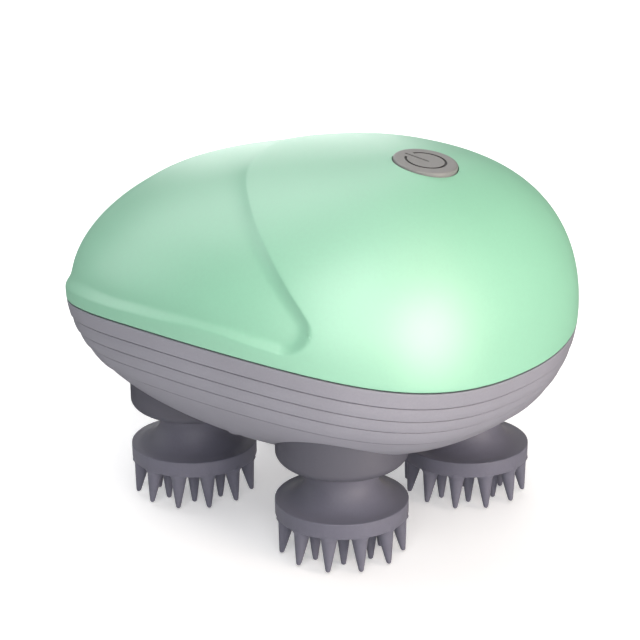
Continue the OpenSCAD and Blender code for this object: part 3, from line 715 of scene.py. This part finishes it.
# ---------------------------------------------------------------- port plug
def build_plug():
    # the flap follows the tail's curve, with a tongue on its back and a hinge knuckle and pin along its lower edge
    ny, nz = 41, 21
    ys = np.linspace(-7.2, 7.2, ny)
    zs = np.linspace(42.35, 48.3, nz)
    front = []
    for z in zs:
        row = []
        R = 34.39 + (33.2 - 34.39) * (z - 42.35) / 5.95
        for y in ys:
            x = -23.2 - math.sqrt(R * R - y * y)
            ex = min(y + 7.2, 7.2 - y)
            ez = min(z - 42.35, 48.3 - z)
            rnd = 0.4
            cut = 0.0
            if ex < rnd:
                cut += rnd - math.sqrt(max(0, rnd * rnd - (rnd - ex) ** 2))
            if ez < rnd:
                cut += rnd - math.sqrt(max(0, rnd * rnd - (rnd - ez) ** 2))
            row.append((x + cut * 0.8, y, z))
        front.append(row)
    v = [p for row in front for p in row]
    back0 = len(v)
    v += [(-55.75, y, z) for z in zs for y in ys]
    f = []
    for i in range(nz - 1):
        for j in range(ny - 1):
            a = i * ny + j
            f.append((a, a + ny, a + ny + 1, a + 1))
            b = back0 + a
            f.append((b, b + 1, b + ny + 1, b + ny))
    for i in range(nz - 1):
        a, b = i * ny, (i + 1) * ny
        f.append((a, back0 + a, back0 + b, b))
        a, b = a + ny - 1, b + ny - 1
        f.append((a, b, back0 + b, back0 + a))
    for j in range(ny - 1):
        f.append((j, j + 1, back0 + j + 1, back0 + j))
        a = (nz - 1) * ny + j
        f.append((a, back0 + a, back0 + a + 1, a + 1))
    o = fix_normals(new_object("plug_shape", v, f, [MAT["plug"]]))
    turn = Matrix.Translation((-56.2, 0, 42.35)) @ Matrix.Rotation(math.radians(90), 4, "X")
    boolean(o, [block((-55.95, -3.9, 44.2), (-53.9, 3.9, 45.7)), moved(cyl(0.75, -7.2, 7.2, n=32), turn)], "UNION")
    boolean(o, [moved(cyl(0.45, -8.2, 8.2, n=32), turn)], "UNION")
    smooth_by_angle(o, 34)
    return o


plug = build_plug()
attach(plug, "plug")
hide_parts("port_plug")

# ---------------------------------------------------------------- floor, lights and camera
def stage_floor():
    # a pale sweep: flat under the object, rising far behind it
    prof = [(-2.4, 0.0), (-1.2, 0.0), (0.0, 0.0), (0.8, 0.0), (1.4, 0.0)]
    for a in np.radians(np.linspace(6, 90, 15)):
        prof.append((1.4 + 0.9 * math.sin(a), 0.9 - 0.9 * math.cos(a)))
    prof.append((2.3, 3.6))
    d = np.array([-0.64548, 0.68828])
    d = d / np.linalg.norm(d)
    side = np.array([-d[1], d[0]])
    v, f = [], []
    for k, (u, z) in enumerate(prof):
        for w in (-3.2, 3.2):
            q = d * u + side * w
            v.append((q[0], q[1], z))
        if k:
            f.append((2 * k - 2, 2 * k, 2 * k + 1, 2 * k - 1))
    m = bpy.data.materials.new("pale_floor")
    m.use_nodes = True
    p = m.node_tree.nodes["Principled BSDF"]
    p.inputs["Base Color"].default_value = (0.93, 0.93, 0.93, 1)
    p.inputs["Roughness"].default_value = 0.9
    p.inputs["Specular IOR Level"].default_value = 0.1
    p.inputs["Emission Color"].default_value = (1.0, 1.0, 1.0, 1)
    p.inputs["Emission Strength"].default_value = 0.34
    o = new_object("floor", v, f, [m], scale=1.0)
    o.visible_glossy = False
    return o


def stage_surround():
    # a plain white wall far outside the sweep, seen from every side; it lights nothing
    rings = [(0.02, -3.0), (3.9, -2.6), (4.2, 0.0), (4.2, 3.0), (3.4, 4.6), (0.02, 5.2)]
    n = 48
    v, f = [], []
    for r, z in rings:
        for k in range(n):
            t = 2 * math.pi * k / n
            v.append((r * math.cos(t), r * math.sin(t), z))
    for j in range(len(rings) - 1):
        for k in range(n):
            a, b = j * n + k, j * n + (k + 1) % n
            f.append((a, a + n, b + n, b))
    m = bpy.data.materials.new("white_wall")
    m.use_nodes = True
    p = m.node_tree.nodes["Principled BSDF"]
    p.inputs["Base Color"].default_value = (0.0, 0.0, 0.0, 1)
    p.inputs["Specular IOR Level"].default_value = 0.0
    p.inputs["Emission Color"].default_value = (1.0, 1.0, 1.0, 1)
    p.inputs["Emission Strength"].default_value = 1.0
    o = new_object("surround", v, f, [m], scale=1.0)
    o.visible_diffuse = False
    o.visible_glossy = False
    o.visible_transmission = False
    o.visible_shadow = False
    return o


stage_floor()
stage_surround()

scene = bpy.context.scene
scene.view_settings.view_transform = "Standard"
scene.view_settings.look = "None"
scene.view_settings.exposure = 0.0

world = bpy.data.worlds.new("studio") if scene.world is None else scene.world
scene.world = world
world.use_nodes = True
bg = world.node_tree.nodes.get("Background")
bg.inputs[0].default_value = (1.0, 1.0, 1.0, 1)
bg.inputs[1].default_value = 0.0

CENTRE = Vector((0.0, 0.0, 0.045))


def soft_light(name, azimuth, elevation, size, power, colour=(1.0, 1.0, 1.0), distance=1.0):
    """A square soft box that faces the object; azimuth 0 stands in front of it, on the -Y side, and 90 on the +X side."""
    d = bpy.data.lights.new(name, "AREA")
    d.shape = "SQUARE"
    d.size = size
    d.energy = power
    d.color = colour
    o = bpy.data.objects.new(name, d)
    scene.collection.objects.link(o)
    a, e = math.radians(azimuth), math.radians(elevation)
    v = Vector((math.sin(a) * math.cos(e), -math.cos(a) * math.cos(e), math.sin(e)))
    o.location = CENTRE + v * distance
    o.rotation_mode = "QUATERNION"
    o.rotation_quaternion = (-v).to_track_quat("-Z", "Y")
    return o


cam_pos = Vector((256.07, -269.36, 168.98)) * MM
right = Vector((0.73038678, 0.68302181, -0.0040448))
up = Vector((-0.22335517, 0.24443188, 0.94359182))
fwd = Vector((-0.64548247, 0.68828356, -0.33108627))

WARM = (1.0, 0.89, 0.80)
soft_light("front", 43, 12, 0.6, 2.8)
soft_light("front_high", 43, 45, 0.6, 3.4)
soft_light("key", 92, 0, 0.6, 7.8, WARM)
soft_light("key_high", 88, 14, 0.6, 2.6, WARM)
soft_light("right_high", 100, 45, 0.6, 1.6, WARM)
soft_light("left", -62, 22, 0.6, 1.7)
soft_light("left_high", -95, 48, 0.7, 2.7)
soft_light("back_edge", -133, 7, 0.3, 1.4)
soft_light("back_high", -140, 45, 0.6, 1.4)
soft_light("top", 0, 88, 0.9, 1.9)

cam_data = bpy.data.cameras.new("camera")
cam = bpy.data.objects.new("camera", cam_data)
scene.collection.objects.link(cam)
rot = Matrix((
    (right.x, up.x, -fwd.x, 0),
    (right.y, up.y, -fwd.y, 0),
    (right.z, up.z, -fwd.z, 0),
    (0, 0, 0, 1),
))
cam.matrix_world = Matrix.Translation(cam_pos) @ rot
cam_data.sensor_width = 36.0
cam_data.sensor_fit = "HORIZONTAL"
cam_data.lens = 99.58
cam_data.clip_start, cam_data.clip_end = 0.01, 20
scene.camera = cam
